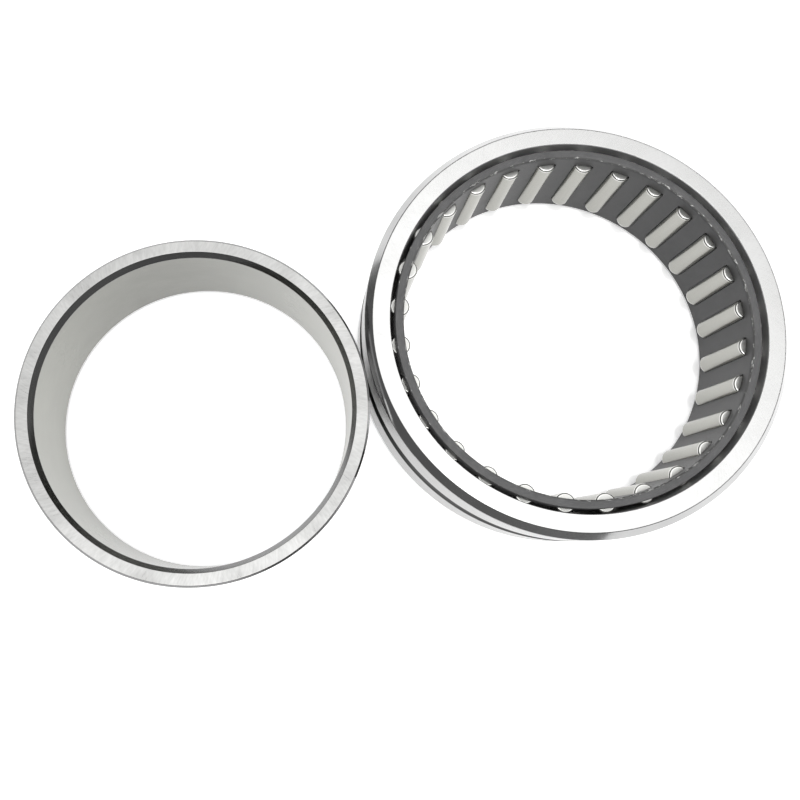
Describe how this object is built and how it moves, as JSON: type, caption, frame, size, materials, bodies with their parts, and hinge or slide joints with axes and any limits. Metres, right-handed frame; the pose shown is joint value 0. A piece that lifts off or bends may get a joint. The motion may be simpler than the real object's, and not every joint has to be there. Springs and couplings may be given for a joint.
{
  "type": "needle roller bearing",
  "caption": "Needle roller bearing: grooved outer ring with a caged set of needle rollers, and its plain inner ring lying beside it.",
  "frame": {"origin": "on the outer ring's axis, at the middle of its width", "axes": "+Z along the bearing axis, up from the face the rings lie on; +X from the inner ring's centre to the outer ring's centre; both rings' side faces are at z = -11.5 mm and +11.5 mm"},
  "size_m": [0.1657, 0.092, 0.023],
  "materials": {
    "outer_ring_steel": "fine ground faces, polished raceway",
    "inner_ring_steel": "fine ground all over, satin bore",
    "cage_steel": "dark phosphated steel, matte, worn bright on its edges",
    "needle_steel": "finely lapped, satin sheen"
  },
  "bodies": {
    "outer_ring": {"outer_ring": "outer_ring_steel"},
    "cage": {"cage": "cage_steel"},
    "inner_ring": {"inner_ring": "inner_ring_steel"},
    "needle_01": {"needle_01": "needle_steel"},
    "needle_02": {"needle_02": "needle_steel"},
    "needle_03": {"needle_03": "needle_steel"},
    "needle_04": {"needle_04": "needle_steel"},
    "needle_05": {"needle_05": "needle_steel"},
    "needle_06": {"needle_06": "needle_steel"},
    "needle_07": {"needle_07": "needle_steel"},
    "needle_08": {"needle_08": "needle_steel"},
    "needle_09": {"needle_09": "needle_steel"},
    "needle_10": {"needle_10": "needle_steel"},
    "needle_11": {"needle_11": "needle_steel"},
    "needle_12": {"needle_12": "needle_steel"},
    "needle_13": {"needle_13": "needle_steel"},
    "needle_14": {"needle_14": "needle_steel"},
    "needle_15": {"needle_15": "needle_steel"},
    "needle_16": {"needle_16": "needle_steel"},
    "needle_17": {"needle_17": "needle_steel"},
    "needle_18": {"needle_18": "needle_steel"},
    "needle_19": {"needle_19": "needle_steel"},
    "needle_20": {"needle_20": "needle_steel"},
    "needle_21": {"needle_21": "needle_steel"},
    "needle_22": {"needle_22": "needle_steel"},
    "needle_23": {"needle_23": "needle_steel"},
    "needle_24": {"needle_24": "needle_steel"},
    "needle_25": {"needle_25": "needle_steel"},
    "needle_26": {"needle_26": "needle_steel"},
    "needle_27": {"needle_27": "needle_steel"},
    "needle_28": {"needle_28": "needle_steel"}
  },
  "joints": [
    {"name": "cage_spin", "type": "hinge", "parent": "outer_ring", "child": "cage", "pos_m": [0, 0, 0], "axis": [0, 0, 1], "continuous": true},
    {"name": "inner_ring_spin", "type": "hinge", "parent": "outer_ring", "child": "inner_ring", "pos_m": [-0.0835, 0, 0], "axis": [0, 0, 1], "continuous": true},
    {"name": "needle_01_roll", "type": "hinge", "parent": "cage", "child": "needle_01", "pos_m": [0.03816, 0.0043, 0], "axis": [0, 0, 1], "continuous": true},
    {"name": "needle_02_roll", "type": "hinge", "parent": "cage", "child": "needle_02", "pos_m": [0.03625, 0.01268, 0], "axis": [0, 0, 1], "continuous": true},
    {"name": "needle_03_roll", "type": "hinge", "parent": "cage", "child": "needle_03", "pos_m": [0.03251, 0.02043, 0], "axis": [0, 0, 1], "continuous": true},
    {"name": "needle_04_roll", "type": "hinge", "parent": "cage", "child": "needle_04", "pos_m": [0.02715, 0.02715, 0], "axis": [0, 0, 1], "continuous": true},
    {"name": "needle_05_roll", "type": "hinge", "parent": "cage", "child": "needle_05", "pos_m": [0.02043, 0.03251, 0], "axis": [0, 0, 1], "continuous": true},
    {"name": "needle_06_roll", "type": "hinge", "parent": "cage", "child": "needle_06", "pos_m": [0.01268, 0.03625, 0], "axis": [0, 0, 1], "continuous": true},
    {"name": "needle_07_roll", "type": "hinge", "parent": "cage", "child": "needle_07", "pos_m": [0.0043, 0.03816, 0], "axis": [0, 0, 1], "continuous": true},
    {"name": "needle_08_roll", "type": "hinge", "parent": "cage", "child": "needle_08", "pos_m": [-0.0043, 0.03816, 0], "axis": [0, 0, 1], "continuous": true},
    {"name": "needle_09_roll", "type": "hinge", "parent": "cage", "child": "needle_09", "pos_m": [-0.01268, 0.03625, 0], "axis": [0, 0, 1], "continuous": true},
    {"name": "needle_10_roll", "type": "hinge", "parent": "cage", "child": "needle_10", "pos_m": [-0.02043, 0.03251, 0], "axis": [0, 0, 1], "continuous": true},
    {"name": "needle_11_roll", "type": "hinge", "parent": "cage", "child": "needle_11", "pos_m": [-0.02715, 0.02715, 0], "axis": [0, 0, 1], "continuous": true},
    {"name": "needle_12_roll", "type": "hinge", "parent": "cage", "child": "needle_12", "pos_m": [-0.03251, 0.02043, 0], "axis": [0, 0, 1], "continuous": true},
    {"name": "needle_13_roll", "type": "hinge", "parent": "cage", "child": "needle_13", "pos_m": [-0.03625, 0.01268, 0], "axis": [0, 0, 1], "continuous": true},
    {"name": "needle_14_roll", "type": "hinge", "parent": "cage", "child": "needle_14", "pos_m": [-0.03816, 0.0043, 0], "axis": [0, 0, 1], "continuous": true},
    {"name": "needle_15_roll", "type": "hinge", "parent": "cage", "child": "needle_15", "pos_m": [-0.03816, -0.0043, 0], "axis": [0, 0, 1], "continuous": true},
    {"name": "needle_16_roll", "type": "hinge", "parent": "cage", "child": "needle_16", "pos_m": [-0.03625, -0.01268, 0], "axis": [0, 0, 1], "continuous": true},
    {"name": "needle_17_roll", "type": "hinge", "parent": "cage", "child": "needle_17", "pos_m": [-0.03251, -0.02043, 0], "axis": [0, 0, 1], "continuous": true},
    {"name": "needle_18_roll", "type": "hinge", "parent": "cage", "child": "needle_18", "pos_m": [-0.02715, -0.02715, 0], "axis": [0, 0, 1], "continuous": true},
    {"name": "needle_19_roll", "type": "hinge", "parent": "cage", "child": "needle_19", "pos_m": [-0.02043, -0.03251, 0], "axis": [0, 0, 1], "continuous": true},
    {"name": "needle_20_roll", "type": "hinge", "parent": "cage", "child": "needle_20", "pos_m": [-0.01268, -0.03625, 0], "axis": [0, 0, 1], "continuous": true},
    {"name": "needle_21_roll", "type": "hinge", "parent": "cage", "child": "needle_21", "pos_m": [-0.0043, -0.03816, 0], "axis": [0, 0, 1], "continuous": true},
    {"name": "needle_22_roll", "type": "hinge", "parent": "cage", "child": "needle_22", "pos_m": [0.0043, -0.03816, 0], "axis": [0, 0, 1], "continuous": true},
    {"name": "needle_23_roll", "type": "hinge", "parent": "cage", "child": "needle_23", "pos_m": [0.01268, -0.03625, 0], "axis": [0, 0, 1], "continuous": true},
    {"name": "needle_24_roll", "type": "hinge", "parent": "cage", "child": "needle_24", "pos_m": [0.02043, -0.03251, 0], "axis": [0, 0, 1], "continuous": true},
    {"name": "needle_25_roll", "type": "hinge", "parent": "cage", "child": "needle_25", "pos_m": [0.02715, -0.02715, 0], "axis": [0, 0, 1], "continuous": true},
    {"name": "needle_26_roll", "type": "hinge", "parent": "cage", "child": "needle_26", "pos_m": [0.03251, -0.02043, 0], "axis": [0, 0, 1], "continuous": true},
    {"name": "needle_27_roll", "type": "hinge", "parent": "cage", "child": "needle_27", "pos_m": [0.03625, -0.01268, 0], "axis": [0, 0, 1], "continuous": true},
    {"name": "needle_28_roll", "type": "hinge", "parent": "cage", "child": "needle_28", "pos_m": [0.03816, -0.0043, 0], "axis": [0, 0, 1], "continuous": true}
  ],
  "couplings": [
    {"joint": "needle_01_roll", "follows": "cage_spin", "ratio": -18.455},
    {"joint": "needle_02_roll", "follows": "cage_spin", "ratio": -18.455},
    {"joint": "needle_03_roll", "follows": "cage_spin", "ratio": -18.455},
    {"joint": "needle_04_roll", "follows": "cage_spin", "ratio": -18.455},
    {"joint": "needle_05_roll", "follows": "cage_spin", "ratio": -18.455},
    {"joint": "needle_06_roll", "follows": "cage_spin", "ratio": -18.455},
    {"joint": "needle_07_roll", "follows": "cage_spin", "ratio": -18.455},
    {"joint": "needle_08_roll", "follows": "cage_spin", "ratio": -18.455},
    {"joint": "needle_09_roll", "follows": "cage_spin", "ratio": -18.455},
    {"joint": "needle_10_roll", "follows": "cage_spin", "ratio": -18.455},
    {"joint": "needle_11_roll", "follows": "cage_spin", "ratio": -18.455},
    {"joint": "needle_12_roll", "follows": "cage_spin", "ratio": -18.455},
    {"joint": "needle_13_roll", "follows": "cage_spin", "ratio": -18.455},
    {"joint": "needle_14_roll", "follows": "cage_spin", "ratio": -18.455},
    {"joint": "needle_15_roll", "follows": "cage_spin", "ratio": -18.455},
    {"joint": "needle_16_roll", "follows": "cage_spin", "ratio": -18.455},
    {"joint": "needle_17_roll", "follows": "cage_spin", "ratio": -18.455},
    {"joint": "needle_18_roll", "follows": "cage_spin", "ratio": -18.455},
    {"joint": "needle_19_roll", "follows": "cage_spin", "ratio": -18.455},
    {"joint": "needle_20_roll", "follows": "cage_spin", "ratio": -18.455},
    {"joint": "needle_21_roll", "follows": "cage_spin", "ratio": -18.455},
    {"joint": "needle_22_roll", "follows": "cage_spin", "ratio": -18.455},
    {"joint": "needle_23_roll", "follows": "cage_spin", "ratio": -18.455},
    {"joint": "needle_24_roll", "follows": "cage_spin", "ratio": -18.455},
    {"joint": "needle_25_roll", "follows": "cage_spin", "ratio": -18.455},
    {"joint": "needle_26_roll", "follows": "cage_spin", "ratio": -18.455},
    {"joint": "needle_27_roll", "follows": "cage_spin", "ratio": -18.455},
    {"joint": "needle_28_roll", "follows": "cage_spin", "ratio": -18.455}
  ]
}
